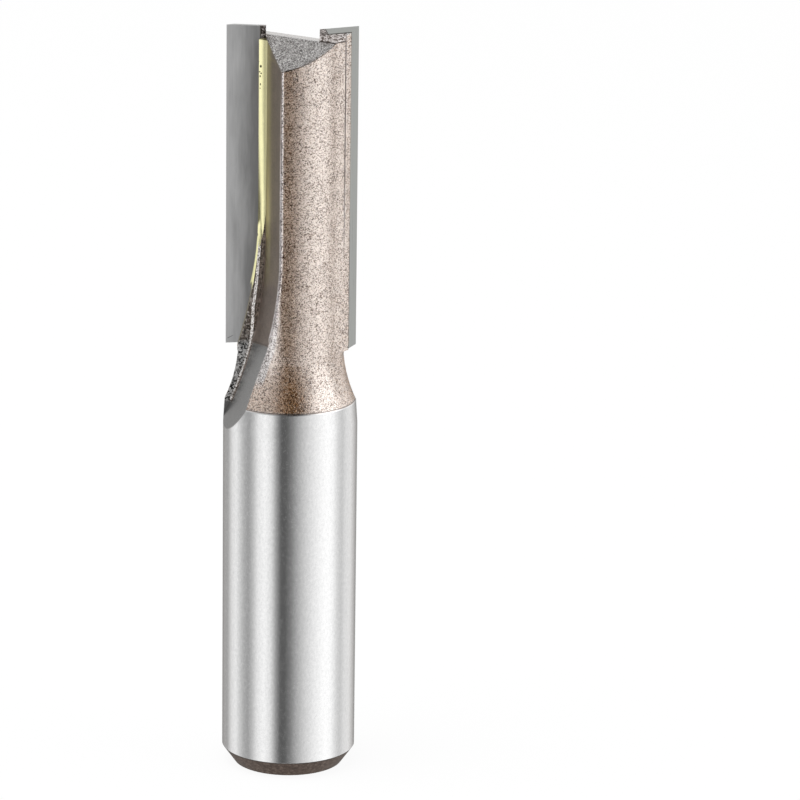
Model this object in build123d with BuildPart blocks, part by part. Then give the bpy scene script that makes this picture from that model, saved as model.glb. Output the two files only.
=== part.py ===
from build123d import *
from math import cos, radians, sin, sqrt, tan
import os

os.makedirs("parts", exist_ok=True)

# Straight two-flute router bit with brazed carbide tips. Sizes are millimetres.
# The origin is the centre of the shank's flat end and +Z runs to the cutting end.
# The left tip lies on -X with its rake face towards -Y. The right tip is the same one turned
# half a turn about Z, so the bit cuts clockwise seen from the shank end.

# Shank, flare and cutter body, all turned
shank_r = 12.7 / 2
shank_end_r = shank_r - 1.17
shank_chamfer_height = 1.63
ground_top = 33.6
collar_r = shank_r - 0.15
collar_height = ground_top + 2.25
neck_r = 4.99
neck_height = collar_height + 4.45
flare_r = neck_r + 0.417 * (collar_r - neck_r)
flare_height = collar_height + 0.416 * (neck_height - collar_height)
body_r = neck_r + 0.11
body_start = neck_height + 0.9

# Steel pad behind each tip
pad_bottom = body_start - 0.1
pad_back = 2.05
pad_heel_x = -5.13
pad_inner_x = -3.5
pad_foot_angle = 49.5
pad_foot_r = 0.99 * body_r

# Carbide tips
cutting_r = 6.12
tip_bottom = pad_bottom + 0.14
tip_length = 30.41
tip_top = tip_bottom + tip_length
tip_width = 3.117
tip_thickness = 1.5
hook_angle = 10.0
side_relief_angle = 22.0
dish_angle = 3.5
end_relief_angle = 7.0

# Length of the turned stock, before the end is cut away
stock_allowance = 1.35
stock_top = tip_top + stock_allowance

# Braze joint, and the disc-milled pocket each tip sits in
joint = 0.11
pocket_disc_r = 44.0
pocket_disc_height = tip_bottom + 13.06
pocket_runout = tip_bottom - 3.24

# Flute, cut by a large disc that runs out in the shank
flute_depth = tip_width + 0.52
flute_draft = 0.1
flute_disc_r = 38.8
flute_disc_height = tip_bottom + 9.66
flute_corner_r = 0.55
flute_reach = 8.0

# Gashed end: a flat web between two sloped facets, and a sloped land behind each tip
web_drop = 1.03
web_height = tip_top - web_drop
web_half_width = 2.5
web_corner_r = 0.3
gash_slope_x = 0.306
gash_slope_y = 0.467
gash_start = -0.31
land_angle = 25.0
end_cut_depth = 10.0
end_cut_floor = web_height - end_cut_depth

# Braze bead in the flute corner, as levels of (height, foot on the rake face, head on the steel).
# Foot and head are measured inwards from the tip's inner end and out of the rake face.
bead_top = tip_top - 1.45
bead_foot = tip_width - 0.077
bead_levels = [
    (bead_top, (bead_foot, 0.0), (flute_depth + 0.223, 1.15)),
    (bead_top - 8.2, (bead_foot, 0.0), (flute_depth + 0.183, 0.95)),
    (pocket_disc_height + 0.3, (bead_foot, 0.0), (flute_depth + 0.143, 0.62)),
    (pocket_disc_height - 2.6, (bead_foot - 0.04, 0.0), (flute_depth - 0.167, 0.14)),
    (pocket_disc_height - 4.3, (bead_foot - 0.16, -0.03), (flute_depth - 0.557, -0.03)),
]
bead_root = -0.4
bead_sag = 0.01


# Directions of one tip: along its rake face inwards, and out of the rake face into the flute
along = Vector(cos(radians(hook_angle)), sin(radians(hook_angle)), 0)
out = Vector(sin(radians(hook_angle)), -cos(radians(hook_angle)), 0)
edge = Vector(-cutting_r, 0, 0)
rake_plane = Plane(origin=edge, x_dir=along, z_dir=out)


def on_rake(inwards, outwards):
    """Plan position of a point given from the cutting edge of the left tip."""
    point = edge + along * inwards + out * outwards
    return (point.X, point.Y)


def disc_reach(radius, height):
    """Depth reached at a height by the disc that mills the tip pocket."""
    return tip_width - pocket_disc_r + sqrt(radius**2 - (pocket_disc_height - height) ** 2)


def falling_plane(start, along_slope, back_slope):
    """Plane that falls inwards along a tip and backwards from its rake face."""
    normal = along * along_slope - out * back_slope + Vector(0, 0, 1)
    return Plane(origin=start, z_dir=normal)


dish = tan(radians(dish_angle))
end_relief = tan(radians(end_relief_angle))
end_plane = falling_plane(edge + Vector(0, 0, tip_top), dish, end_relief)
tip_back_top = edge - out * tip_thickness + Vector(0, 0, tip_top - tip_thickness * end_relief)
land_plane = falling_plane(tip_back_top, dish, tan(radians(land_angle)))

relief_reach = 4.0
relief_end = (
    -cutting_r + relief_reach * sin(radians(side_relief_angle)),
    relief_reach * cos(radians(side_relief_angle)),
)
relief_rate = cos(radians(side_relief_angle + hook_angle))
pad_start_length = (tip_thickness + joint) / relief_rate
pad_start = (
    -cutting_r + pad_start_length * sin(radians(side_relief_angle)),
    pad_start_length * cos(radians(side_relief_angle)),
)
pad_foot = (
    -pad_foot_r * sin(radians(pad_foot_angle)),
    pad_foot_r * cos(radians(pad_foot_angle)),
)


# Disc-milled flute of the left tip
flute_plane = Plane(origin=edge + Vector(0, 0, flute_disc_height), x_dir=along, z_dir=(0, 0, 1))
flute_axis = Axis(
    origin=edge + along * (flute_depth - flute_disc_r) + Vector(0, 0, flute_disc_height),
    direction=-out,
)
flute_root = edge + along * flute_depth + Vector(0, 0, flute_disc_height)
with BuildSketch(flute_plane) as flute_section:
    with BuildLine():
        Polyline(
            (-flute_reach, 0),
            (flute_depth, 0),
            (flute_depth + flute_draft * flute_reach, -flute_reach),
            (-flute_reach, -flute_reach),
            close=True,
        )
    make_face()
    flute_corner = flute_section.vertices().sort_by_distance(flute_root)[0]
    fillet(flute_corner, flute_corner_r)

with BuildPart() as flute_cut:
    extrude(flute_section.sketch, amount=stock_top - flute_disc_height)
    revolve(flute_section.sketch, axis=flute_axis, revolution_arc=60)


# Pocket of the left tip, open to the flute and to the outside
pocket_front = 0.3
with BuildPart() as pocket_cut:
    with BuildSketch(rake_plane.offset(pocket_front)):
        with BuildLine():
            pocket_wall_r = pocket_disc_r + joint
            pocket_middle = (pocket_disc_height + pocket_runout) / 2
            ThreePointArc(
                (tip_width + joint, pocket_disc_height),
                (disc_reach(pocket_wall_r, pocket_middle), pocket_middle),
                (disc_reach(pocket_wall_r, pocket_runout), pocket_runout),
            )
            Polyline(
                (disc_reach(pocket_wall_r, pocket_runout), pocket_runout),
                (-flute_reach, pocket_runout),
                (-flute_reach, stock_top),
                (tip_width + joint, stock_top),
                (tip_width + joint, pocket_disc_height),
            )
        make_face()
    extrude(amount=-(pocket_front + tip_thickness + joint))


# End gash beside the left tip's flute: the sloped facet that falls away from the web
gash_reach = 9.0
gash_plane = Plane(
    origin=(0, 0, web_height - gash_start),
    z_dir=(-gash_slope_x, -gash_slope_y, 1),
)
with BuildPart() as gash_cut:
    with BuildSketch(Plane.XY.offset(end_cut_floor)):
        with BuildLine():
            Polyline(
                (-web_half_width, (gash_start + gash_slope_x * web_half_width) / gash_slope_y),
                (gash_reach, (gash_start - gash_slope_x * gash_reach) / gash_slope_y),
                (gash_reach, -gash_reach),
                (-web_half_width, -gash_reach),
                close=True,
            )
        make_face()
    extrude(amount=stock_top - end_cut_floor)
    split(bisect_by=gash_plane, keep=Keep.TOP)


# Slot that leaves the flat web across the end
slot_height = 4.0
with BuildPart() as slot_cut:
    with BuildSketch(Plane.XZ) as slot_section:
        with Locations((0, web_height + slot_height / 2)):
            Rectangle(2 * web_half_width, slot_height)
        fillet(slot_section.vertices().sort_by(Axis.Z)[:2], web_corner_r)
    extrude(amount=gash_reach, both=True)


# Everything above the ground end of the left tip, and above the land behind it
with BuildPart() as end_cut:
    with BuildSketch(Plane.XY.offset(end_cut_floor)):
        with Locations((-web_half_width - gash_reach / 2, 0)):
            Rectangle(gash_reach, 2 * gash_reach)
    extrude(amount=stock_top - end_cut_floor)
    split(bisect_by=end_plane, keep=Keep.TOP)

with BuildPart() as land_cut:
    with BuildSketch(Plane.XY.offset(end_cut_floor)):
        with Locations((-web_half_width - gash_reach / 2, 0)):
            Rectangle(gash_reach, 2 * gash_reach)
    extrude(amount=stock_top - end_cut_floor)
    split(bisect_by=land_plane, keep=Keep.TOP)


# Turned and milled steel body
with BuildPart() as steel_body:
    with BuildSketch(Plane.XZ):
        with BuildLine():
            Polyline(
                (0, 0),
                (shank_end_r, 0),
                (shank_r, shank_chamfer_height),
                (shank_r, ground_top),
                (collar_r, collar_height),
            )
            ThreePointArc((collar_r, collar_height), (flare_r, flare_height), (neck_r, neck_height))
            Polyline(
                (neck_r, neck_height),
                (body_r, body_start),
                (body_r, stock_top),
                (0, stock_top),
                (0, 0),
            )
        make_face()
    revolve(axis=Axis.Z)
    with BuildSketch(Plane.XY.offset(pad_bottom)) as pad_section:
        with BuildLine():
            Polyline(
                (pad_inner_x, 0),
                (-cutting_r, 0),
                pad_start,
                (pad_heel_x, pad_back),
                pad_foot,
                close=True,
            )
        make_face()
        add(pad_section.sketch, rotation=180)
    extrude(amount=stock_top - pad_bottom)
    with PolarLocations(0, 2):
        add(flute_cut.part, mode=Mode.SUBTRACT)
        add(pocket_cut.part, mode=Mode.SUBTRACT)
        add(end_cut.part, mode=Mode.SUBTRACT)
        add(land_cut.part, mode=Mode.SUBTRACT)
        add(gash_cut.part, mode=Mode.SUBTRACT)
    add(slot_cut.part, mode=Mode.SUBTRACT)

steel_body.part.label = "steel_body"
export_step(steel_body.part, "parts/steel_body.step")


# Carbide tip of the left side
tip_middle = (pocket_disc_height + tip_bottom) / 2
with BuildPart() as carbide_tip_left:
    with BuildSketch(rake_plane):
        with BuildLine():
            ThreePointArc(
                (tip_width, pocket_disc_height),
                (disc_reach(pocket_disc_r, tip_middle), tip_middle),
                (disc_reach(pocket_disc_r, tip_bottom), tip_bottom),
            )
            Polyline(
                (disc_reach(pocket_disc_r, tip_bottom), tip_bottom),
                (0, tip_bottom),
                (0, stock_top),
                (tip_width, stock_top),
                (tip_width, pocket_disc_height),
            )
        make_face()
    extrude(amount=-tip_thickness)
    with BuildSketch(Plane.XY.offset(tip_bottom - 1)):
        with BuildLine():
            Polyline(
                (-cutting_r, 0),
                relief_end,
                (-cutting_r - 1, relief_end[1]),
                (-cutting_r - 1, 0),
                close=True,
            )
        make_face()
    extrude(amount=stock_top - tip_bottom + 2, mode=Mode.SUBTRACT)
    split(bisect_by=end_plane, keep=Keep.BOTTOM)

carbide_tip_left.part.label = "carbide_tip_left"
export_step(carbide_tip_left.part, "parts/carbide_tip_left.step")

with BuildPart() as carbide_tip_right:
    add(carbide_tip_left.part, rotation=(0, 0, 180))

carbide_tip_right.part.label = "carbide_tip_right"
export_step(carbide_tip_right.part, "parts/carbide_tip_right.step")


# Bead that the braze forms in the flute corner, before the steel and the tip are taken off it
with BuildPart() as bead:
    for level, foot, head in bead_levels:
        hollow_reach = foot[0] + 0.58 * (head[0] - foot[0])
        hollow_rise = foot[1] + 0.38 * (head[1] - foot[1]) - bead_sag
        with BuildSketch(Plane.XY.offset(level)):
            with BuildLine():
                ThreePointArc(on_rake(*head), on_rake(hollow_reach, hollow_rise), on_rake(*foot))
                Polyline(
                    on_rake(*foot),
                    on_rake(foot[0], bead_root),
                    on_rake(head[0], bead_root),
                    on_rake(*head),
                )
            make_face()
    loft(ruled=True)
    add(gash_cut.part, mode=Mode.SUBTRACT)

# Braze of the left tip: the film behind and beside it, and the bead
with BuildPart() as braze_left:
    with BuildSketch(rake_plane):
        with BuildLine():
            ThreePointArc(
                (tip_width + joint, pocket_disc_height),
                (disc_reach(pocket_disc_r + joint, tip_middle), tip_middle),
                (disc_reach(pocket_disc_r + joint, tip_bottom), tip_bottom),
            )
            Polyline(
                (disc_reach(pocket_disc_r + joint, tip_bottom), tip_bottom),
                (0, tip_bottom),
                (0, stock_top),
                (tip_width + joint, stock_top),
                (tip_width + joint, pocket_disc_height),
            )
        make_face()
    extrude(amount=-(tip_thickness + joint))
    with BuildSketch(Plane.XY.offset(tip_bottom - 1)):
        with BuildLine():
            Polyline(
                (-cutting_r, 0),
                relief_end,
                (-cutting_r - 1, relief_end[1]),
                (-cutting_r - 1, 0),
                close=True,
            )
        make_face()
    extrude(amount=stock_top - tip_bottom + 2, mode=Mode.SUBTRACT)
    split(bisect_by=end_plane, keep=Keep.BOTTOM)
    split(bisect_by=land_plane, keep=Keep.BOTTOM)
    add(bead.part)
    add(carbide_tip_left.part, mode=Mode.SUBTRACT)
    add(steel_body.part, mode=Mode.SUBTRACT)

braze_left.part.label = "braze_left"
export_step(braze_left.part, "parts/braze_left.step")

with BuildPart() as braze_right:
    add(braze_left.part, rotation=(0, 0, 180))

braze_right.part.label = "braze_right"
export_step(braze_right.part, "parts/braze_right.step")
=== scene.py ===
"""Straight router bit with brazed carbide tips: its finishes, and a small photo studio round it."""

import math

import bpy
from mathutils import Matrix, Vector


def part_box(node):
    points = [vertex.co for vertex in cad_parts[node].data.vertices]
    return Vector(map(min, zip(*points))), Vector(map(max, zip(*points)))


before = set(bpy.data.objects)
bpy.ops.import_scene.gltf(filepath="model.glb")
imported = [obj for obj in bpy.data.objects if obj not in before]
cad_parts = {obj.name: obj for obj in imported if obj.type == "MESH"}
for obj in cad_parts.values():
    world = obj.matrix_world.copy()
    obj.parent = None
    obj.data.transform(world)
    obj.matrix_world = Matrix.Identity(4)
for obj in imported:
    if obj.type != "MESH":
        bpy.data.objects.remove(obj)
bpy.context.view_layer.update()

bl_info = {
    "name": "Straight router bit",
    "version": (1, 0, 0),
    "blender": (4, 5, 0),
    "location": "3D View > Sidebar > Router bit",
    "description": "Finishes a straight router bit and sets up a small photo studio round it",
    "category": "Object",
}

# Where the photograph was taken from, in metres, with the bit standing on its shank end
EYE = (0.0, -0.4456, 0.1608)
EYE_YAW = math.radians(1.33)
EYE_PITCH = math.radians(15.67)
EYE_ROLL = math.radians(0.742)
EYE_LENS = 220.7
TURN_ROUND_BIT = math.radians(0.7)

# Brightness of the studio walls round the bit, by angle in degrees from the camera, + to the right
STUDIO_WALLS = (
    (-180, 1.0),
    (-172, 0.72),
    (-166, 0.36),
    (-148, 0.54),
    (-132, 0.55),
    (-117, 1.1),
    (-104, 1.25),
    (-94, 0.93),
    (-84, 0.63),
    (-74, 0.5),
    (-65, 0.76),
    (-55, 1.23),
    (-42, 1.42),
    (-31, 1.14),
    (-22, 0.49),
    (-14, 0.15),
    (-6, 0.15),
    (4, 0.31),
    (16, 0.65),
    (30, 0.99),
    (46, 1.29),
    (60, 1.5),
    (70, 1.58),
    (80, 1.48),
    (92, 1.04),
    (102, 0.86),
    (114, 1.1),
    (130, 1.15),
    (146, 0.76),
    (166, 0.34),
    (172, 0.76),
    (180, 1.0),
)

# The same for the light that comes from above the camera, which the flared neck mirrors
STUDIO_UPPER_WALLS = (
    (-180, 1.0),
    (-150, 0.62),
    (-130, 0.62),
    (-100, 1.05),
    (-75, 0.78),
    (-57, 0.72),
    (-42, 0.66),
    (-30, 0.46),
    (-15, 0.12),
    (0, 0.04),
    (12, 0.05),
    (28, 0.34),
    (42, 1.05),
    (58, 1.85),
    (75, 2.3),
    (90, 2.1),
    (107, 1.2),
    (127, 1.4),
    (143, 1.05),
    (160, 0.85),
    (180, 1.0),
)

# Pits in the braze beside each tip: height, distance in from the cutting edge, half length and half
# width, in millimetres
BRAZE_PITS = (
    (68.12, 3.02, 0.05, 0.05),
    (67.66, 3.2, 0.13, 0.08),
    (67.13, 3.12, 0.07, 0.05),
    (67.0, 3.23, 0.07, 0.06),
    (66.72, 3.15, 0.1, 0.05),
    (65.96, 3.17, 0.12, 0.04),
    (65.58, 3.15, 0.05, 0.04),
)

# Names of the effects that the finishes share
GRAIN = "Blasted grain"
GRINDING = "Grinding lines"
TIP_PLACE = "Place on the nearer tip"

# One millimetre in metres: the reach of a surface that is tilted by a drop given in millimetres
MILLIMETRE = 0.001


def rgb(values):
    """A linear colour with full alpha."""
    return (values[0], values[1], values[2], 1.0)


class Wiring:
    """Adds nodes to one node tree and joins them, so that a finish reads as a list of steps."""

    def __init__(self, tree):
        self.tree = tree

    def node(self, kind, **settings):
        """A new node with its settings."""
        made = self.tree.nodes.new(kind)
        for name, value in settings.items():
            setattr(made, name, value)
        return made

    def put(self, socket, value):
        """Gives a socket a constant, or joins another node's socket to it."""
        if value is None:
            return
        if isinstance(value, bpy.types.NodeSocket):
            self.tree.links.new(value, socket)
        else:
            socket.default_value = value

    def math(self, operation, first, second=None, third=None, clamp=False):
        """One sum, with up to three values."""
        made = self.node("ShaderNodeMath", operation=operation, use_clamp=clamp)
        self.put(made.inputs[0], first)
        self.put(made.inputs[1], second)
        self.put(made.inputs[2], third)
        return made.outputs[0]

    def plus(self, first, second, clamp=False):
        return self.math("ADD", first, second, clamp=clamp)

    def minus(self, first, second):
        return self.math("SUBTRACT", first, second)

    def times(self, first, second, clamp=False):
        return self.math("MULTIPLY", first, second, clamp=clamp)

    def highest(self, first, second):
        return self.math("MAXIMUM", first, second)

    def lowest(self, first, second):
        return self.math("MINIMUM", first, second)

    def line(self, value, slope, start, clamp=False):
        """The value times a slope, counted from a start."""
        return self.math("MULTIPLY_ADD", value, slope, start, clamp=clamp)

    def product(self, *factors):
        """Everything multiplied together. Of masks, it is the place that all of them share."""
        result = factors[0]
        for factor in factors[1:]:
            result = self.times(result, factor)
        return result

    def outside(self, mask):
        """1 where the mask is 0."""
        return self.minus(1.0, mask)

    def step(self, value, low, high):
        """0 below low and 1 above high, smooth between; low above high turns it over."""
        made = self.node("ShaderNodeMapRange", interpolation_type="SMOOTHSTEP", clamp=True)
        if low > high:
            low, high = high, low
            made.inputs["To Min"].default_value = 1.0
            made.inputs["To Max"].default_value = 0.0
        self.put(made.inputs["Value"], value)
        made.inputs["From Min"].default_value = low
        made.inputs["From Max"].default_value = high
        return made.outputs["Result"]

    def between(self, value, low, high, soft):
        """1 between low and high, with soft edges."""
        rise = self.step(value, low - soft, low + soft)
        fall = self.step(value, high + soft, high - soft)
        return self.times(rise, fall)

    def scaled(self, vector, factors):
        """A vector stretched along x, y and z."""
        made = self.node("ShaderNodeVectorMath", operation="MULTIPLY")
        self.put(made.inputs[0], vector)
        made.inputs[1].default_value = factors
        return made.outputs[0]

    def unit(self, vector):
        """The same direction, one long."""
        made = self.node("ShaderNodeVectorMath", operation="NORMALIZE")
        self.put(made.inputs[0], vector)
        return made.outputs[0]

    def apart(self, vector):
        """The x, y and z of a vector."""
        made = self.node("ShaderNodeSeparateXYZ")
        self.put(made.inputs[0], vector)
        return made.outputs

    def ramp(self, value, stops):
        """The colour that belongs to a value, from a list of values and colours."""
        made = self.node("ShaderNodeValToRGB")
        self.put(made.inputs[0], value)
        elements = made.color_ramp.elements
        while len(elements) < len(stops):
            elements.new(0.5)
        for element, (place, colour) in zip(elements, stops):
            element.position = place
            element.color = rgb(colour)
        return made.outputs[0]

    def blend(self, mask, under, over):
        """Colour over laid on colour under where the mask is 1."""
        made = self.node("ShaderNodeMix", data_type="RGBA", clamp_factor=True)
        self.put(made.inputs[0], mask)
        for socket, colour in ((made.inputs[6], under), (made.inputs[7], over)):
            if isinstance(colour, bpy.types.NodeSocket):
                self.put(socket, colour)
            else:
                self.put(socket, rgb(colour))
        return made.outputs[2]

    def fade(self, mask, under, over):
        """The same for a plain number."""
        made = self.node("ShaderNodeMix", data_type="FLOAT", clamp_factor=True)
        self.put(made.inputs[0], mask)
        self.put(made.inputs[2], under)
        self.put(made.inputs[3], over)
        return made.outputs[0]

    def tinted(self, colour, tone):
        """A colour made lighter or darker by a tone."""
        made = self.node("ShaderNodeVectorMath", operation="SCALE")
        self.put(made.inputs[0], colour)
        self.put(made.inputs["Scale"], tone)
        return made.outputs[0]

    def noise(self, vector, scale, detail=2.0, roughness=0.5):
        """Soft clouds, scale of them to a millimetre."""
        made = self.node("ShaderNodeTexNoise", noise_dimensions="3D")
        self.put(made.inputs["Vector"], vector)
        self.put(made.inputs["Scale"], scale)
        made.inputs["Detail"].default_value = detail
        made.inputs["Roughness"].default_value = roughness
        return made.outputs["Fac"]

    def cells(self, vector, scale):
        """A random value for each small cell, scale of them to a millimetre."""
        made = self.node("ShaderNodeTexVoronoi", voronoi_dimensions="3D", feature="F1")
        self.put(made.inputs["Vector"], vector)
        self.put(made.inputs["Scale"], scale)
        parts = self.node("ShaderNodeSeparateColor")
        self.put(parts.inputs[0], made.outputs["Color"])
        return parts.outputs[0]

    def bump(self, height, distance, strength=1.0, normal=None):
        """The surface's direction after it is raised by height times distance in metres."""
        made = self.node("ShaderNodeBump")
        made.inputs["Distance"].default_value = distance
        self.put(made.inputs["Strength"], strength)
        self.put(made.inputs["Height"], height)
        self.put(made.inputs["Normal"], normal)
        return made.outputs[0]


def brightest(levels):
    """The highest brightness in a list of wall levels."""
    return max(value for angle, value in levels)


def wall_stops(levels):
    """The levels as stops of a colour ramp that goes once round the bit."""
    top = brightest(levels)
    return [((angle + 180) / 360, (value / top,) * 3) for angle, value in levels]


def new_group(name, inputs, outputs):
    """A shader node group with named inputs and outputs, and the wiring to fill it."""
    group = bpy.data.node_groups.new(name, "ShaderNodeTree")
    for label, kind, default in inputs:
        socket = group.interface.new_socket(name=label, in_out="INPUT", socket_type=kind)
        if default is not None:
            socket.default_value = default
    for label in outputs:
        group.interface.new_socket(name=label, in_out="OUTPUT", socket_type="NodeSocketFloat")
    w = Wiring(group)
    return w, w.node("NodeGroupInput").outputs, w.node("NodeGroupOutput").inputs


def place_group(w, name, **values):
    """Puts a shared effect in a material. Its inputs are given by name, with _ for a space."""
    if name not in bpy.data.node_groups:
        raise RuntimeError(f"there is no {name}: the shared effects come first")
    made = w.node("ShaderNodeGroup", node_tree=bpy.data.node_groups[name])
    for label, value in values.items():
        w.put(made.inputs[label.replace("_", " ")], value)
    return made.outputs


def make_grain_group():
    """Flecks left by grit blasting: bright worn tops, brown pits, and their height."""
    w, start, end = new_group(
        GRAIN,
        [
            ("Vector", "NodeSocketVector", None),
            ("Grains per mm", "NodeSocketFloat", 7.0),
            ("Contrast", "NodeSocketFloat", 1.0),
        ],
        ["Fleck", "Height"],
    )
    vector = start["Vector"]
    fineness = start["Grains per mm"]
    grains = w.cells(vector, fineness)
    dust = w.cells(vector, w.times(fineness, 1.9))
    clump = w.noise(vector, w.times(fineness, 0.7), detail=1.0)
    patch = w.noise(vector, 0.8)
    mixed = w.plus(w.times(grains, 0.7), w.times(dust, 0.5))
    mixed = w.plus(mixed, w.times(clump, 0.4))
    mixed = w.plus(mixed, w.times(patch, 0.3))
    middle = 0.95
    w.put(end["Fleck"], w.line(w.minus(mixed, middle), start["Contrast"], 0.5, clamp=True))
    w.put(end["Height"], clump)


def make_grinding_group():
    """Fine lines left by a grinding wheel, long along the bit, and slow clouds in them."""
    w, start, end = new_group(
        GRINDING,
        [
            ("Vector", "NodeSocketVector", None),
            ("Lines per mm", "NodeSocketFloat", 6.0),
        ],
        ["Line", "Cloud"],
    )
    drawn_out = w.scaled(start["Vector"], (1.0, 1.0, 0.035))
    w.put(end["Line"], w.noise(drawn_out, start["Lines per mm"], detail=3.0, roughness=0.65))
    slow = w.scaled(start["Vector"], (1.0, 1.0, 0.16))
    w.put(end["Cloud"], w.noise(slow, 0.9, detail=3.0, roughness=0.55))


def make_tip_group(sizes):
    """Position measured from the nearer cutting edge, alike for both sides of the bit."""
    w, start, end = new_group(
        TIP_PLACE,
        [("Vector", "NodeSocketVector", None)],
        ["Inwards", "Outwards", "Floor gap", "Flute"],
    )
    x, y, z = w.apart(start["Vector"])
    across = w.minus(sizes.cutting_radius, w.math("ABSOLUTE", x))
    along = w.times(w.times(y, w.math("SIGN", x)), -1.0)
    cosine = math.cos(sizes.hook_angle)
    sine = math.sin(sizes.hook_angle)
    inwards = w.plus(w.times(across, cosine), w.times(along, sine))
    outwards = w.minus(w.times(across, sine), w.times(along, cosine))

    # The flute's floor is straight above the disc's height and follows the disc below it
    drop = w.highest(w.minus(sizes.flute_disc_height, z), 0.0)
    reach = w.line(outwards, sizes.flute_draft, sizes.flute_disc_radius)
    square = w.minus(w.times(reach, reach), w.times(drop, drop))
    root = w.math("SQRT", w.highest(square, 0.0))
    floor = w.plus(root, sizes.flute_depth - sizes.flute_disc_radius)
    gap = w.minus(floor, inwards)
    in_front = w.step(outwards, -0.05, -0.015)
    before_floor = w.step(gap, -0.05, -0.015)
    w.put(end["Inwards"], inwards)
    w.put(end["Outwards"], outwards)
    w.put(end["Floor gap"], gap)
    w.put(end["Flute"], w.times(in_front, before_floor))


class BitSizes(bpy.types.PropertyGroup):
    """Where the bit's surfaces lie, so that each finish falls on its own surface."""

    shank_radius: bpy.props.FloatProperty(
        name="Shank radius",
        description="Radius of the ground shank, in millimetres",
        default=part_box("steel_body")[1][0] * 1000,
        min=1.0,
    )
    chamfer_height: bpy.props.FloatProperty(
        name="Chamfer height",
        description="Height of the unground chamfer at the shank's end, in millimetres",
        default=1.6,
    )
    collar_height: bpy.props.FloatProperty(
        name="Collar height",
        description="Height where the ground shank meets the blasted body, in millimetres",
        default=35.95,
    )
    cutting_radius: bpy.props.FloatProperty(
        name="Cutting radius",
        description="From the bit's axis to the cutting edges, in millimetres",
        default=-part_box("carbide_tip_left")[0][0] * 1000,
        min=1.0,
    )
    hook_angle: bpy.props.FloatProperty(
        name="Hook angle",
        description="Angle of the rake faces to a line through the axis",
        default=math.radians(10.0),
        subtype="ANGLE",
    )
    flute_depth: bpy.props.FloatProperty(
        name="Flute depth",
        description="From the cutting edge to the flute's floor, in millimetres",
        default=3.637,
    )
    flute_draft: bpy.props.FloatProperty(
        name="Flute draft",
        description="How much the flute's floor leans inwards over its rise",
        default=0.1,
    )
    flute_disc_radius: bpy.props.FloatProperty(
        name="Flute disc radius",
        description="Radius of the disc that cut the flute, in millimetres",
        default=38.8,
    )
    flute_disc_height: bpy.props.FloatProperty(
        name="Flute disc height",
        description="Height below which the flute runs out, in millimetres",
        default=50.9,
    )
    web_height: bpy.props.FloatProperty(
        name="Web height",
        description="Height of the flat across the cutting end, in millimetres",
        default=70.62,
    )
    web_half_width: bpy.props.FloatProperty(
        name="Web half width",
        description="Half the width of the slot across the cutting end, in millimetres",
        default=2.5,
    )
    gash_slope_x: bpy.props.FloatProperty(
        name="Gash slope sideways",
        description="How much the end's sloped facets fall for each millimetre along x",
        default=0.306,
    )
    gash_slope_y: bpy.props.FloatProperty(
        name="Gash slope forwards",
        description="How much the end's sloped facets fall for each millimetre along y",
        default=0.467,
    )
    gash_rise: bpy.props.FloatProperty(
        name="Gash rise",
        description="How far the planes of the facets pass above the web at the axis, in millimetres",
        default=0.31,
    )


class SteelLook(bpy.types.PropertyGroup):
    """Colours of the steel body."""

    ground: bpy.props.FloatVectorProperty(
        name="Ground shank",
        description="Colour of the ground shank",
        subtype="COLOR",
        size=3,
        default=(0.80, 0.80, 0.80),
        min=0.0,
        max=1.0,
    )
    brown: bpy.props.FloatVectorProperty(
        name="Brown skin",
        description="Colour of the blasted body's skin",
        subtype="COLOR",
        size=3,
        default=(0.46, 0.175, 0.015),
        min=0.0,
        max=1.0,
    )
    bright: bpy.props.FloatVectorProperty(
        name="Bright grains",
        description="Colour of the blasted body's raised grains",
        subtype="COLOR",
        size=3,
        default=(0.88, 0.6, 0.37),
        min=0.0,
        max=1.0,
    )
    flute: bpy.props.FloatVectorProperty(
        name="Flute wall",
        description="Colour of the flute's floor beside the braze",
        subtype="COLOR",
        size=3,
        default=(0.34, 0.275, 0.235),
        min=0.0,
        max=1.0,
    )
    grains_per_mm: bpy.props.FloatProperty(
        name="Grains per millimetre",
        description="How fine the blasted grain is",
        default=14.0,
        min=0.5,
    )


class CarbideLook(bpy.types.PropertyGroup):
    """Colours of the carbide tips."""

    edge: bpy.props.FloatVectorProperty(
        name="At the cutting edge",
        description="Colour of the carbide at the cutting edge",
        subtype="COLOR",
        size=3,
        default=(0.73, 0.73, 0.73),
        min=0.0,
        max=1.0,
    )
    inner: bpy.props.FloatVectorProperty(
        name="At the braze",
        description="Colour of the carbide beside the braze",
        subtype="COLOR",
        size=3,
        default=(0.37, 0.37, 0.37),
        min=0.0,
        max=1.0,
    )
    relief: bpy.props.FloatVectorProperty(
        name="Relief faces",
        description="Colour of the carbide's relief faces",
        subtype="COLOR",
        size=3,
        default=(0.41, 0.42, 0.40),
        min=0.0,
        max=1.0,
    )


class BrazeLook(bpy.types.PropertyGroup):
    """Colours of the braze."""

    metal: bpy.props.FloatVectorProperty(
        name="Braze",
        description="Colour of the braze",
        subtype="COLOR",
        size=3,
        default=(1.0, 0.95, 0.55),
        min=0.0,
        max=1.0,
    )


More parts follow.
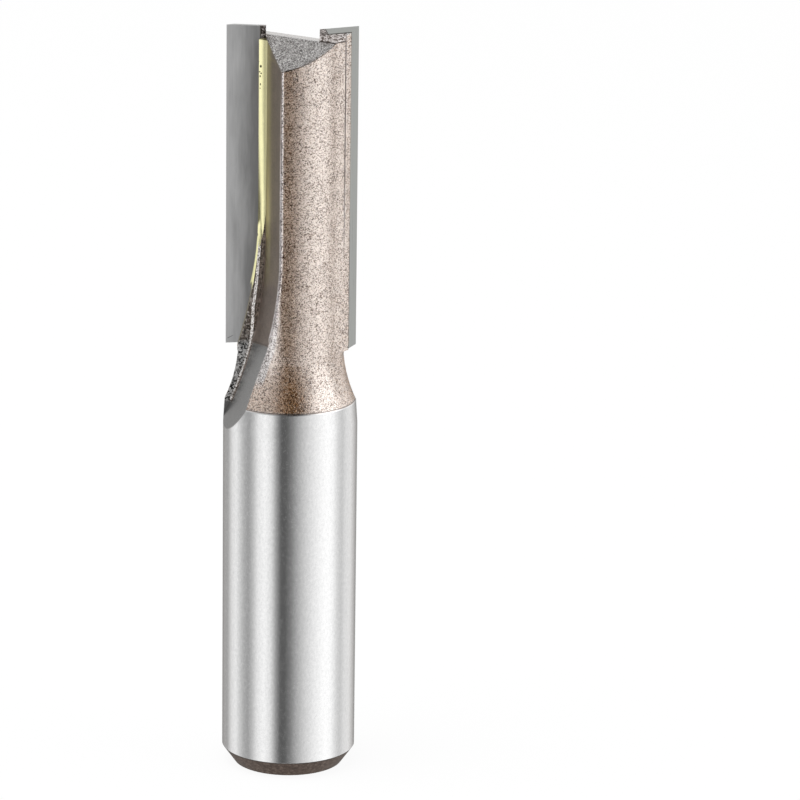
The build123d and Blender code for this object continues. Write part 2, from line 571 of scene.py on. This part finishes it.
class StudioLook(bpy.types.PropertyGroup):
    """The floor and the light."""

    floor_colour: bpy.props.FloatVectorProperty(
        name="Floor",
        description="Colour of the floor",
        subtype="COLOR",
        size=3,
        default=(0.9, 0.9, 0.9),
        min=0.0,
        max=1.0,
    )
    floor_radius: bpy.props.FloatProperty(
        name="Floor radius",
        description="Radius of the floor",
        default=6.0,
        unit="LENGTH",
    )
    ceiling: bpy.props.FloatProperty(
        name="Ceiling",
        description="Brightness of the studio's ceiling",
        default=0.75,
        min=0.0,
    )
    ground_light: bpy.props.FloatProperty(
        name="Light from below",
        description="Brightness of the studio below the bit",
        default=0.8,
        min=0.0,
    )
    lamp_power: bpy.props.FloatProperty(
        name="Overhead lamp",
        description="Power of the overhead lamp in watts",
        default=5.0,
        min=0.0,
    )


def millimetres(w):
    """Object coordinates in millimetres."""
    coordinates = w.node("ShaderNodeTexCoord")
    return w.scaled(coordinates.outputs["Object"], (1000.0, 1000.0, 1000.0))


def new_finish(name):
    """A material with an empty Principled shader, and the wiring to fill it."""
    material = bpy.data.materials.new(name)
    material.use_nodes = True
    material.node_tree.nodes.clear()
    w = Wiring(material.node_tree)
    shader = w.node("ShaderNodeBsdfPrincipled")
    output = w.node("ShaderNodeOutputMaterial")
    w.put(output.inputs["Surface"], shader.outputs[0])
    return material, w, shader


def wear(node_name, material):
    """Gives a CAD node its finish."""
    if node_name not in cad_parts:
        raise RuntimeError(f"the frame has no node {node_name}")
    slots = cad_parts[node_name].data.materials
    slots.clear()
    slots.append(material)


class SteelFinish:
    """The steel's finish while it is built up in layers, with the places that the layers share.

    Lengths are millimetres. Heights are measured from the shank's end, inwards and outwards from
    the nearer cutting edge, and the gap from the flute's floor.
    """

    def __init__(self, sizes, look):
        self.material, w, self.shader = new_finish("tool_steel")
        self.w = w
        self.sizes = sizes
        self.look = look
        self.vector = millimetres(w)
        self.x, self.y, self.z = w.apart(self.vector)
        self.radius = w.math("POWER", w.plus(w.times(self.x, self.x), w.times(self.y, self.y)), 0.5)
        self.sideways = w.math("ABSOLUTE", self.x)

        tip = place_group(w, TIP_PLACE, Vector=self.vector)
        self.inwards = tip["Inwards"]
        self.outwards = tip["Outwards"]
        self.gap = tip["Floor gap"]
        self.flute = tip["Flute"]

        grain = place_group(
            w, GRAIN, Vector=self.vector, Grains_per_mm=look.grains_per_mm, Contrast=1.3
        )
        self.fleck = grain["Fleck"]
        self.grain_height = grain["Height"]
        self.lines = place_group(w, GRINDING, Vector=self.vector, Lines_per_mm=5.0)["Line"]
        self.mottle = w.noise(w.scaled(self.vector, (1.0, 1.0, 0.6)), 4.5, detail=3.0, roughness=0.8)
        self.coarse = w.plus(w.times(w.cells(self.vector, 6.0), 0.6), w.times(self.fleck, 0.4))

    def lay(self, mask, colour=None, metal=None, rough=None, grain=None):
        """Lays what is given over what is there, where the mask is 1."""
        if colour is not None:
            self.colour = self.w.blend(mask, self.colour, colour)
        if metal is not None:
            self.metal = self.w.fade(mask, self.metal, metal)
        if rough is not None:
            self.rough = self.w.fade(mask, self.rough, rough)
        if grain is not None:
            self.grain = self.w.fade(mask, self.grain, grain)

    def draw_line(self, mask, colour, full=0.5):
        """Bare metal in a thin line. Its colour reaches further out than its metal."""
        self.colour = self.w.blend(self.w.step(mask, 0.0, full), self.colour, colour)
        self.metal = self.w.highest(self.metal, self.w.times(mask, mask))

    def blast_body(self):
        """A brown skin that mirrors the studio softly, with dark pits and pale grains."""
        self.shader.inputs["IOR"].default_value = 4.0
        self.shader.inputs["Specular IOR Level"].default_value = 0.95
        self.shader.inputs["Specular Tint"].default_value = rgb((1.0, 0.975, 0.955))
        self.colour = self.w.ramp(
            self.fleck,
            [
                (0.26, (0.14, 0.105, 0.085)),
                (0.4, self.look.brown),
                (0.66, [1.2 * level for level in self.look.brown]),
                (0.86, (0.62, 0.34, 0.13)),
                (1.0, self.look.bright),
            ],
        )
        self.metal = self.w.step(self.fleck, 0.38, 0.26)
        self.rough = 0.07
        self.grain = 1.0

    def grind_shank(self):
        """The ground shank with a faint mottle, and a thin dark line where the grinding stopped."""
        w = self.w
        top = self.sizes.collar_height
        self.lay(
            w.step(self.z, top + 0.04, top - 0.04),
            colour=w.tinted(self.look.ground, w.line(self.mottle, 0.36, 0.82)),
            metal=w.line(w.step(self.mottle, 0.48, 0.7), -0.14, 1.0),
            rough=0.13,
            grain=0.0,
        )
        self.draw_line(w.between(self.z, top + 0.02, top + 0.1, 0.03), (0.26, 0.22, 0.2))

    def leave_chamfer(self):
        """Dark mill scale on the unground chamfer and the end face."""
        w = self.w
        top = self.sizes.chamfer_height
        side = self.sizes.shank_radius
        unground = w.product(
            w.step(self.z, top + 0.08, top),
            w.step(self.radius, side - 0.01, side - 0.03),
        )
        scale = w.ramp(
            w.noise(self.vector, 3.0, detail=4.0, roughness=0.75),
            [(0.3, (0.06, 0.042, 0.034)), (0.5, (0.13, 0.09, 0.07)), (0.7, (0.26, 0.2, 0.17))],
        )
        scale = w.blend(w.step(self.z, top - 0.15, top), scale, (0.03, 0.022, 0.018))
        self.lay(unground, colour=scale, metal=0.97, rough=0.42, grain=0.4)

    def wear_and_highlight_edges(self):
        """The edge where the body's outside meets the flute, rounded, worn to bare metal and brightened
        by a painted highlight, wider at the neck.
        """
        w = self.w
        wide = w.step(self.z, 47.0, 41.5)
        width = w.line(wide, 0.7, 0.26)
        beyond_floor = w.product(w.step(self.outwards, 0.3, 0.5), w.step(self.gap, 0.04, -0.01))
        above_collar = w.step(self.z, 37.5, 39.5)
        below_end = w.step(self.z, 68.9, 68.6)
        ridge = w.product(beyond_floor, above_collar, below_end)
        to_edge = w.plus(w.math("DIVIDE", self.gap, width), 1.0, clamp=True)
        self.edge_drop = w.product(to_edge, to_edge, ridge, -0.09)
        # Bare worn metal along the edge, with a painted highlight: pale pinkish grains that stand for the
        # light the rounded edge catches
        worn_edge_highlight = w.product(ridge, w.step(to_edge, 0.2, 0.5), w.line(wide, -0.35, 0.95))
        self.draw_line(
            worn_edge_highlight,
            w.ramp(self.fleck, [(0.4, (0.12, 0.09, 0.08)), (0.68, (1.0, 0.94, 0.93))]),
        )

    def shade_pad_creases(self):
        """Painted shade: a thin dark line in the crease on the steel behind each tip."""
        w = self.w
        behind_tip = w.step(self.outwards, -1.7, -1.9)
        deeper_upwards = w.step(self.z, 44.0, 60.0)
        # Painted shade along the crease, drawn as a dark line
        crease_shade = w.product(w.between(self.sideways, 4.87, 4.99, 0.03), deeper_upwards, behind_tip)
        self.draw_line(crease_shade, (0.2, 0.165, 0.15), full=0.6)

    def mill_flutes(self):
        """Flute walls: smoother than the outside, stained by the braze, with a painted highlight along
        the outer rim.
        """
        w = self.w
        tone = w.line(self.fleck, 0.8, w.line(self.lines, 0.7, 0.25))
        self.lay(
            self.flute,
            colour=w.tinted(self.look.flute, tone),
            metal=0.9,
            rough=0.36,
            grain=0.35,
        )
        near_bead = w.product(w.step(self.outwards, 2.8, 1.2), w.step(self.z, 45.5, 50.0))
        stain = w.product(self.flute, near_bead, 0.6)
        self.lay(stain, colour=(0.75, 0.69, 0.42))

        # Painted highlight: a bright line along the flute's outer rim, fading out towards the top
        rim_radius = 4.8
        rim_foot = w.step(self.z, 42.3, 43.0)
        rim_head = w.step(self.z, 68.0, 54.0)
        at_rim = w.step(self.radius, rim_radius - 0.08, rim_radius + 0.1)
        rim_highlight = w.product(self.flute, at_rim, rim_foot, rim_head)
        self.rim_drop = w.product(w.minus(self.radius, rim_radius), rim_highlight, -1.9)
        self.lay(
            rim_highlight,
            colour=w.ramp(self.fleck, [(0.4, (0.2, 0.17, 0.16)), (0.6, (1.0, 0.95, 0.95))]),
            metal=1.0,
            rough=0.3,
        )

    def run_out_flutes(self):
        """Smooth grey run-out of the flute in the neck and the shank, under a soft dark line."""
        w = self.w
        top = 41.3
        collar = self.sizes.collar_height
        wall = w.product(self.flute, w.step(self.outwards, 0.34, 0.46))
        leaning_height = w.line(self.outwards, -0.16, self.z)
        dark_line = w.product(wall, w.between(leaning_height, top - 0.02, top + 0.12, 0.04), 0.5)
        self.lay(dark_line, colour=(0.1, 0.08, 0.07))

        in_neck = w.product(wall, w.step(leaning_height, top, top - 0.12))
        in_shank = w.product(self.flute, w.step(self.z, collar - 0.05, collar - 0.45))
        self.lay(
            w.highest(in_neck, in_shank),
            colour=w.tinted((0.43, 0.432, 0.43), w.line(self.mottle, 0.4, 0.8)),
            metal=1.0,
            rough=0.3,
            grain=0.05,
        )

    def band_flute_corners(self):
        """A bright band along the flute's corner, which is a painted highlight, between a dark ledge and
        a brown shade, which are painted shade.
        """
        w = self.w
        below_bead = w.step(self.z, 53.5, 51.5)
        above_shank = w.step(self.z, 35.4, 35.8)
        low = w.product(self.flute, below_bead, above_shank)
        corner = w.product(low, w.step(self.outwards, 0.56, 0.4))

        # The middle of the band leaves the floor above the neck and comes back to it further up
        leaving = w.times(w.minus(self.z, 41.0), 0.15, clamp=True)
        returning = w.line(self.z, -0.05, 3.0)
        furthest = 0.55
        middle = w.lowest(w.lowest(leaving, returning), furthest)
        off_band = w.minus(self.gap, middle)

        # Painted highlight in the band, and painted shade on its wall side
        band_highlight = w.ramp(
            self.fleck,
            [(0.3, (0.06, 0.045, 0.035)), (0.5, (0.6, 0.53, 0.48)), (0.64, (1.0, 0.97, 0.95))],
        )
        shade = w.ramp(
            self.fleck,
            [(0.3, (0.05, 0.035, 0.025)), (0.5, (0.24, 0.18, 0.135)), (0.75, (0.8, 0.68, 0.6))],
        )
        inside = w.step(off_band, -0.15, -0.25)
        shaded = w.highest(inside, w.step(self.outwards, 0.1, 0.26))
        self.lay(corner, colour=w.blend(shaded, band_highlight, shade), rough=0.24, grain=0.9)
        self.lay(w.product(corner, w.step(self.outwards, 0.34, 0.42)), colour=(0.17, 0.13, 0.11))
        on_band = w.product(corner, w.outside(inside), w.step(off_band, 0.2, 0.12))
        self.band_rise = w.product(off_band, on_band, -0.6)

        # The rough ledge level with the rake face: dark with painted shade beside the tip, paler below
        # the tip's lower end
        level_with_rake = w.product(low, w.step(self.outwards, 0.08, 0.03))
        below_tip = w.step(self.z, 41.6, 41.0)
        shaded_ledge = w.ramp(
            self.coarse,
            [
                (0.2, (0.03, 0.024, 0.018)),
                (0.5, (0.15, 0.11, 0.08)),
                (0.66, (0.45, 0.38, 0.33)),
                (0.8, (0.9, 0.85, 0.8)),
            ],
        )
        pale_ledge = w.ramp(
            self.coarse,
            [(0.3, (0.01, 0.01, 0.01)), (0.42, (0.1, 0.1, 0.1)), (0.5, (1.0, 1.0, 1.0))],
        )
        ledge = w.product(level_with_rake, w.step(off_band, 0.12, 0.24))
        self.lay(ledge, colour=w.blend(below_tip, shaded_ledge, pale_ledge))
        pale_grains = w.product(level_with_rake, below_tip, w.step(self.coarse, 0.42, 0.5))
        self.lay(pale_grains, metal=0.1)

    def gash_end(self):
        """Grey blasted facets with a pale web across the end, and a dark line of painted shade under each
        facet.
        """
        w = self.w
        sizes = self.sizes
        x, y, z = self.x, self.y, self.z
        near_end = w.step(z, 60.0, 61.0)
        upwards = w.apart(w.node("ShaderNodeTexCoord").outputs["Normal"])["Z"]
        top = w.product(w.step(upwards, 0.55, 0.75), near_end)
        facet = w.ramp(
            self.fleck,
            [(0.18, (0.07, 0.06, 0.055)), (0.47, (0.45, 0.425, 0.41)), (0.7, (1.0, 0.98, 0.97))],
        )
        self.lay(top, colour=facet, metal=1.0, rough=0.36)

        level = w.between(z, sizes.web_height - 0.03, sizes.web_height + 0.05, 0.02)
        in_slot = w.step(self.sideways, sizes.web_half_width + 0.01, sizes.web_half_width - 0.01)
        self.lay(
            w.product(top, level, in_slot),
            colour=w.ramp(self.fleck, [(0.1, (0.6, 0.59, 0.58)), (0.6, (0.86, 0.86, 0.86))]),
            rough=0.25,
            grain=0.3,
        )

        # Painted shade: a dark line on the steep wall just under each facet
        half = w.math("SIGN", y)
        slope = w.plus(w.times(x, sizes.gash_slope_x), w.times(y, sizes.gash_slope_y))
        facet_height = w.minus(sizes.web_height + sizes.gash_rise, w.times(slope, half))
        outline_shade = w.product(
            w.between(w.minus(facet_height, z), 0.015, 0.11, 0.03),
            near_end,
            w.step(w.times(x, half), 4.6, 4.3),
            w.outside(top),
            w.outside(self.flute),
        )
        self.draw_line(outline_shade, (0.1, 0.08, 0.07))

    def roughen_lands(self):
        """Rough lands behind the tips, and the rough nub that stands beside each of them."""
        w = self.w
        slot_side = self.sizes.web_half_width
        foot = self.sizes.web_height - 0.04
        land = w.product(
            w.step(self.sideways, slot_side - 0.04, slot_side + 0.02),
            w.step(self.sideways, 4.95, 4.85),
            w.step(self.z, foot - 0.02, foot + 0.02),
            w.step(self.outwards, -1.6, -1.7),
        )
        land_colour = w.ramp(
            self.coarse,
            [(0.2, (0.08, 0.06, 0.05)), (0.42, (0.45, 0.39, 0.36)), (0.6, (0.98, 0.92, 0.9))],
        )
        foot_line = w.times(w.step(self.z, foot + 0.16, foot + 0.08), 0.85)
        land_colour = w.blend(foot_line, land_colour, (0.05, 0.04, 0.035))

        nub_foot = self.sizes.web_height - 0.35
        nub = w.product(
            w.step(self.sideways, slot_side - 0.03, slot_side - 0.01),
            w.step(self.z, nub_foot, nub_foot + 0.05),
            w.step(self.inwards, 2.9, 3.05),
            w.step(self.outwards, -1.72, -1.62),
        )
        nub_colour = w.ramp(
            self.coarse,
            [
                (0.25, (0.03, 0.025, 0.02)),
                (0.5, (0.16, 0.13, 0.12)),
                (0.62, (0.42, 0.37, 0.35)),
                (0.85, (0.95, 0.9, 0.88)),
            ],
        )
        self.lay(land, colour=land_colour)
        self.lay(nub, colour=nub_colour)
        self.metal = w.highest(self.metal, w.highest(land, nub))

    def true_round(self):
        """The surface's direction, straight out from the axis on the ground shank."""
        w = self.w
        side = self.sizes.shank_radius
        foot = self.sizes.chamfer_height
        top = self.sizes.collar_height
        on_shank = w.product(
            w.step(self.radius, side - 0.014, side - 0.008),
            w.step(self.z, foot, foot + 0.06),
            w.step(self.z, top + 0.01, top - 0.01),
        )
        straight_out = w.node("ShaderNodeCombineXYZ")
        w.put(straight_out.inputs["X"], self.x)
        w.put(straight_out.inputs["Y"], self.y)
        facing = w.node("ShaderNodeMix", data_type="VECTOR")
        w.put(facing.inputs[0], on_shank)
        w.put(facing.inputs[4], w.node("ShaderNodeNewGeometry").outputs["Normal"])
        w.put(facing.inputs[5], w.unit(straight_out.outputs[0]))
        return facing.outputs[1]

    def fill_shader(self):
        """Joins the finished layers, the rounded edges and the grain to the shader."""
        w = self.w
        drops = w.plus(self.edge_drop, w.plus(self.rim_drop, self.band_rise))
        rounded = w.bump(drops, MILLIMETRE, normal=self.true_round())
        worn_tops = w.step(self.fleck, 0.8, 1.0)
        grained = w.bump(
            w.line(worn_tops, 0.2, self.grain_height),
            0.03 * MILLIMETRE,
            strength=w.times(self.grain, 0.4),
            normal=rounded,
        )
        w.put(self.shader.inputs["Base Color"], self.colour)
        w.put(self.shader.inputs["Metallic"], self.metal)
        w.put(self.shader.inputs["Roughness"], w.line(w.minus(self.fleck, 0.5), 0.06, self.rough))
        w.put(self.shader.inputs["Normal"], grained)


class ROUTERBIT_OT_shared_effects(bpy.types.Operator):
    """Makes the node groups that the finishes share"""

    bl_idname = "routerbit.shared_effects"
    bl_label = "Shared effects"

    def execute(self, context):
        make_grain_group()
        make_grinding_group()
        make_tip_group(context.scene.routerbit_sizes)
        return {"FINISHED"}


class ROUTERBIT_OT_steel(bpy.types.Operator):
    """Finishes the steel: ground shank, blasted body, milled flutes and gashed end"""

    bl_idname = "routerbit.steel"
    bl_label = "Steel body"

    def execute(self, context):
        steel = SteelFinish(context.scene.routerbit_sizes, context.scene.routerbit_steel)
        steel.blast_body()
        steel.grind_shank()
        steel.leave_chamfer()
        steel.wear_and_highlight_edges()
        steel.shade_pad_creases()
        steel.mill_flutes()
        steel.run_out_flutes()
        steel.band_flute_corners()
        steel.gash_end()
        steel.roughen_lands()
        steel.fill_shader()
        wear("steel_body", steel.material)
        return {"FINISHED"}


class ROUTERBIT_OT_carbide(bpy.types.Operator):
    """Finishes the carbide tips: fine ground faces with wheel lines along the bit"""

    bl_idname = "routerbit.carbide"
    bl_label = "Carbide tips"

    def execute(self, context):
        look = context.scene.routerbit_carbide
        material, w, shader = new_finish("carbide")
        vector = millimetres(w)
        place = w.apart(vector)
        z = place["Z"]
        tip = place_group(w, TIP_PLACE, Vector=vector)
        lines = place_group(w, GRINDING, Vector=vector, Lines_per_mm=5.0)

        # The rake face darkens unevenly towards the braze
        across = w.times(tip["Inwards"], 1.0 / 3.1, clamp=True)
        face = w.ramp(
            w.plus(across, w.times(w.minus(lines["Cloud"], 0.5), 1.3)),
            [(0.05, look.edge), (0.5, (0.54, 0.54, 0.54)), (0.85, look.inner), (1.0, (0.40, 0.40, 0.40))],
        )
        on_rake = w.step(tip["Outwards"], -0.03, -0.01)
        colour = w.blend(on_rake, look.relief, face)
        colour = w.tinted(colour, w.line(lines["Line"], 0.34, 0.83))

        # Braze smeared over the tip's inner edge where the bead runs out
        sunk = w.minus(51.0, z)
        edge = w.times(w.line(sunk, 0.02, 0.07), sunk)
        from_edge = w.plus(tip["Inwards"], edge)
        smear_start = 2.91
        smear = w.product(
            on_rake,
            w.step(from_edge, smear_start, smear_start + 0.04),
            w.between(z, 46.9, 51.6, 0.3),
        )
        colour = w.blend(smear, colour, (1.0, 0.96, 0.55))

        # One short scratch low on the left tip
        left_side = w.step(place["X"], 0.1, -0.1)
        scratch_rise = w.line(tip["Inwards"], -0.485, z)
        scratch = w.product(
            on_rake,
            left_side,
            w.between(tip["Inwards"], 0.16, 0.68, 0.06),
            w.between(scratch_rise, 41.57, 41.61, 0.03),
        )
        colour = w.blend(scratch, colour, (0.06, 0.06, 0.06))

        w.put(shader.inputs["Base Color"], colour)
        shader.inputs["Metallic"].default_value = 1.0
        w.put(shader.inputs["Roughness"], w.line(lines["Line"], 0.16, 0.22))
        crowned = w.bump(w.product(w.minus(from_edge, smear_start), smear, 0.5), MILLIMETRE)
        ground = w.bump(lines["Line"], 0.004 * MILLIMETRE, strength=0.35, normal=crowned)
        w.put(shader.inputs["Normal"], ground)
        wear("carbide_tip_left", material)
        wear("carbide_tip_right", material)
        return {"FINISHED"}


class ROUTERBIT_OT_braze(bpy.types.Operator):
    """Finishes the braze: pale brass with a few pits along the tip"""

    bl_idname = "routerbit.braze"
    bl_label = "Braze"

    def execute(self, context):
        look = context.scene.routerbit_braze
        material, w, shader = new_finish("braze")
        vector = millimetres(w)
        z = w.apart(vector)["Z"]
        tip = place_group(w, TIP_PLACE, Vector=vector)
        lines = place_group(w, GRINDING, Vector=vector, Lines_per_mm=4.0)
        tarnish = w.noise(vector, 1.3, detail=3.0, roughness=0.6)
        colour = w.ramp(tarnish, [(0.35, [0.96 * level for level in look.metal]), (0.6, look.metal)])

        # Dull where only its thin film shows, dark at both ends of the bead
        film = w.step(tip["Outwards"], -0.02, -0.1)
        upper_end = w.step(z, 70.1, 70.3)
        lower_end = w.step(z, 47.2, 46.2)
        pits = self.pit_mask(w, z, tip["Inwards"])
        colour = w.blend(film, colour, (0.34, 0.31, 0.27))
        colour = w.blend(upper_end, colour, (0.1, 0.09, 0.08))
        colour = w.blend(pits, colour, (0.04, 0.03, 0.02))
        colour = w.blend(lower_end, colour, (0.22, 0.2, 0.16))
        w.put(shader.inputs["Base Color"], colour)
        shader.inputs["Metallic"].default_value = 1.0
        w.put(shader.inputs["Roughness"], w.line(lines["Line"], 0.14, 0.14))

        # The bead leans a little to the flute, and its foot swells beside the tip
        foot = w.product(w.step(z, 53.5, 51.8), w.step(tip["Outwards"], 0.09, 0.07))
        raised = w.product(w.minus(tip["Inwards"], 3.18), foot, 0.6)
        crowned = w.bump(w.line(tip["Inwards"], -0.11, raised), MILLIMETRE)
        pitted = w.bump(w.minus(tarnish, pits), 0.01 * MILLIMETRE, strength=0.4, normal=crowned)
        w.put(shader.inputs["Normal"], pitted)
        wear("braze_left", material)
        wear("braze_right", material)
        return {"FINISHED"}

    def pit_mask(self, w, z, inwards):
        """1 in the small oval pits along the tip."""
        pits = 0.0
        for height, centre, half_length, half_width in BRAZE_PITS:
            up = w.times(w.minus(z, height), 1.0 / half_length)
            aside = w.times(w.minus(inwards, centre), 1.0 / half_width)
            away = w.plus(w.times(up, up), w.times(aside, aside))
            pits = w.highest(pits, w.step(away, 1.3, 0.6))
        return pits


class ROUTERBIT_OT_studio(bpy.types.Operator):
    """Sets the floor, the light and the camera of the photograph"""

    bl_idname = "routerbit.studio"
    bl_label = "Studio"

    def execute(self, context):
        look = context.scene.routerbit_studio
        self.lay_floor(look)
        self.paint_walls(context, look)
        self.hang_lamp(look)
        self.aim_camera(context)
        return {"FINISHED"}

    def lay_floor(self, look):
        """A pale floor that keeps the bit's shadow and isn't mirrored in the bit."""
        bpy.ops.object.select_all(action="DESELECT")
        bpy.ops.mesh.primitive_circle_add(vertices=96, radius=look.floor_radius, fill_type="NGON")
        floor = bpy.context.object
        floor.name = "studio_floor"
        material, w, shader = new_finish("studio_floor")
        shader.inputs["Base Color"].default_value = rgb(look.floor_colour)
        shader.inputs["Roughness"].default_value = 0.9
        shader.inputs["Specular IOR Level"].default_value = 0.0
        glow = w.node("ShaderNodeEmission")
        glow.inputs["Strength"].default_value = 1.0
        share_of_glow = 0.93
        mix = w.node("ShaderNodeMixShader")
        w.put(mix.inputs[0], w.times(self.seen_directly(w), share_of_glow))
        w.put(mix.inputs[1], shader.outputs[0])
        w.put(mix.inputs[2], glow.outputs[0])
        output = next(n for n in material.node_tree.nodes if n.type == "OUTPUT_MATERIAL")
        w.put(output.inputs["Surface"], mix.outputs[0])
        floor.data.materials.append(material)
        floor.visible_glossy = False

    def seen_directly(self, w):
        """1 for what the camera sees itself, or through something clear."""
        rays = w.node("ShaderNodeLightPath")
        return w.highest(rays.outputs["Is Camera Ray"], rays.outputs["Is Transmission Ray"])

    def paint_walls(self, context, look):
        """Light and dark walls all round, which the bit mirrors, behind a plain white backdrop."""
        world = bpy.data.worlds.new("studio_walls")
        world.use_nodes = True
        world.node_tree.nodes.clear()
        context.scene.world = world
        w = Wiring(world.node_tree)
        x, y, z = w.apart(w.node("ShaderNodeTexCoord").outputs["Generated"])
        turn = w.math("ARCTAN2", x, w.times(y, -1.0))
        place = w.line(turn, 0.5 / math.pi, 0.5)
        walls, upper_walls = (
            w.times(w.ramp(place, wall_stops(levels)), brightest(levels))
            for levels in (STUDIO_WALLS, STUDIO_UPPER_WALLS)
        )
        walls = w.fade(w.step(z, -0.16, 0.2), walls, upper_walls)
        light = w.fade(w.step(z, 0.72, 0.95), walls, look.ceiling)
        light = w.fade(w.step(z, -0.5, -0.85), light, look.ground_light)
        studio = w.node("ShaderNodeBackground")
        w.put(studio.inputs["Strength"], light)
        backdrop = w.node("ShaderNodeBackground")
        mix = w.node("ShaderNodeMixShader")
        w.put(mix.inputs[0], self.seen_directly(w))
        w.put(mix.inputs[1], studio.outputs[0])
        w.put(mix.inputs[2], backdrop.outputs[0])
        output = w.node("ShaderNodeOutputWorld")
        w.put(output.inputs["Surface"], mix.outputs[0])

    def hang_lamp(self, look):
        """A soft lamp overhead, aimed at the middle of the bit, that casts its shadow."""
        lamp_place = (-0.25, -0.1, 0.9)
        bpy.ops.object.select_all(action="DESELECT")
        bpy.ops.object.light_add(type="AREA", location=lamp_place)
        lamp = bpy.context.object
        lamp.name = "overhead_lamp"
        lamp.data.shape = "DISK"
        lamp.data.size = 0.6
        lamp.data.energy = look.lamp_power
        bit_middle = Vector((0, 0, 0.04))
        lamp.rotation_euler = (bit_middle - lamp.location).to_track_quat("-Z", "Y").to_euler()
        lamp.visible_glossy = False

    def aim_camera(self, context):
        """The camera where the photograph was taken from."""
        data = bpy.data.cameras.new("photo_camera")
        data.lens = EYE_LENS
        data.sensor_width = 36.0
        data.clip_start = 0.01
        data.clip_end = 50.0
        camera = bpy.data.objects.new("photo_camera", data)
        context.scene.collection.objects.link(camera)
        forward = Vector(
            (
                math.sin(EYE_YAW) * math.cos(EYE_PITCH),
                math.cos(EYE_YAW) * math.cos(EYE_PITCH),
                -math.sin(EYE_PITCH),
            )
        )
        level = Vector((math.cos(EYE_YAW), -math.sin(EYE_YAW), 0))
        upright = level.cross(forward)
        right = level * math.cos(EYE_ROLL) + upright * math.sin(EYE_ROLL)
        up = upright * math.cos(EYE_ROLL) - level * math.sin(EYE_ROLL)
        turned = Matrix((right, up, -forward)).transposed().to_4x4()
        placed = Matrix.Translation(Vector(EYE)) @ turned
        camera.matrix_world = Matrix.Rotation(TURN_ROUND_BIT, 4, "Z") @ placed
        context.scene.camera = camera
        context.scene.view_settings.view_transform = "Standard"


class ROUTERBIT_PT_panel(bpy.types.Panel):
    """Lists the steps and their settings"""

    bl_idname = "ROUTERBIT_PT_panel"
    bl_label = "Router bit"
    bl_space_type = "VIEW_3D"
    bl_region_type = "UI"
    bl_category = "Router bit"

    def draw(self, context):
        scene = context.scene
        for operator, settings in (
            (ROUTERBIT_OT_shared_effects, scene.routerbit_sizes),
            (ROUTERBIT_OT_steel, scene.routerbit_steel),
            (ROUTERBIT_OT_carbide, scene.routerbit_carbide),
            (ROUTERBIT_OT_braze, scene.routerbit_braze),
            (ROUTERBIT_OT_studio, scene.routerbit_studio),
        ):
            box = self.layout.box()
            box.operator(operator.bl_idname)
            for name in settings.bl_rna.properties.keys():
                if name not in {"rna_type", "name"}:
                    box.prop(settings, name)


CLASSES = (
    BitSizes,
    SteelLook,
    CarbideLook,
    BrazeLook,
    StudioLook,
    ROUTERBIT_OT_shared_effects,
    ROUTERBIT_OT_steel,
    ROUTERBIT_OT_carbide,
    ROUTERBIT_OT_braze,
    ROUTERBIT_OT_studio,
    ROUTERBIT_PT_panel,
)

SETTINGS = {
    "routerbit_sizes": BitSizes,
    "routerbit_steel": SteelLook,
    "routerbit_carbide": CarbideLook,
    "routerbit_braze": BrazeLook,
    "routerbit_studio": StudioLook,
}


def register():
    for cls in CLASSES:
        bpy.utils.register_class(cls)
    for name, cls in SETTINGS.items():
        setattr(bpy.types.Scene, name, bpy.props.PointerProperty(type=cls))


def unregister():
    for name in SETTINGS:
        delattr(bpy.types.Scene, name)
    for cls in reversed(CLASSES):
        bpy.utils.unregister_class(cls)


def main():
    register()
    bpy.ops.routerbit.shared_effects()
    bpy.ops.routerbit.steel()
    bpy.ops.routerbit.carbide()
    bpy.ops.routerbit.braze()
    bpy.ops.routerbit.studio()


if __name__ == "__main__":
    main()
